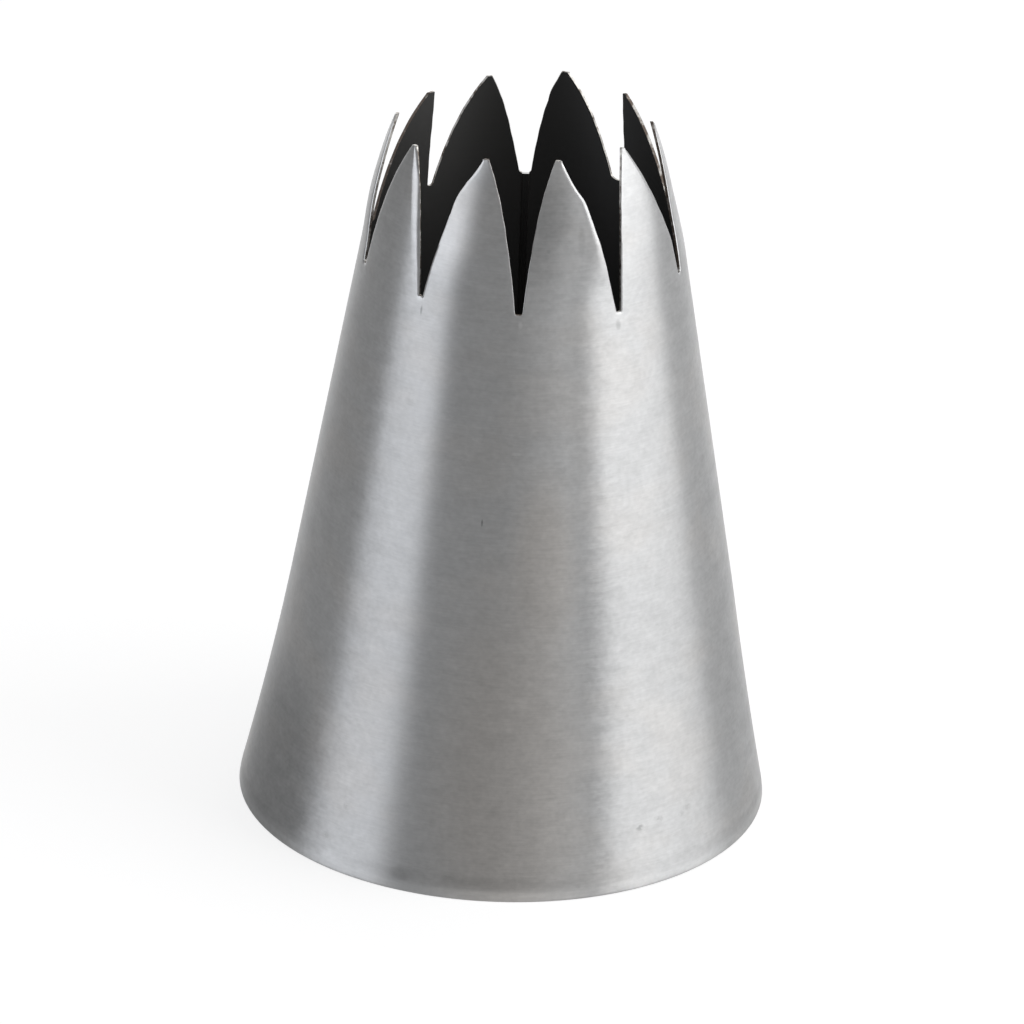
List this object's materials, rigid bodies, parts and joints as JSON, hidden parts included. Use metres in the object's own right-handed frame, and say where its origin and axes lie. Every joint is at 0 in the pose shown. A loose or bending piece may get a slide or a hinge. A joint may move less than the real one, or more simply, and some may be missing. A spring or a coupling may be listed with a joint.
{
  "type": "piping nozzle",
  "caption": "Large open-star piping nozzle: a cone of brushed stainless sheet, closed by a welded seam, with pointed teeth bent in round its narrow end.",
  "frame": {"origin": "centre of the wide end, on the plane that it stands on", "axes": "+Z along the nozzle's axis from the wide end to the teeth, +Y through the seam, +X through a tooth"},
  "size_m": [0.0372, 0.0372, 0.0505],
  "materials": {
    "brushed_sheet": "Stainless sheet, brushed round the cone, with bare cut edges on the teeth and a dull dark inside",
    "ground_weld": "Weld ground flush with the sheet and brushed along the seam"
  },
  "bodies": {
    "root": {"nozzle_shell": "brushed_sheet", "seam_weld": "ground_weld"}
  },
  "joints": []
}
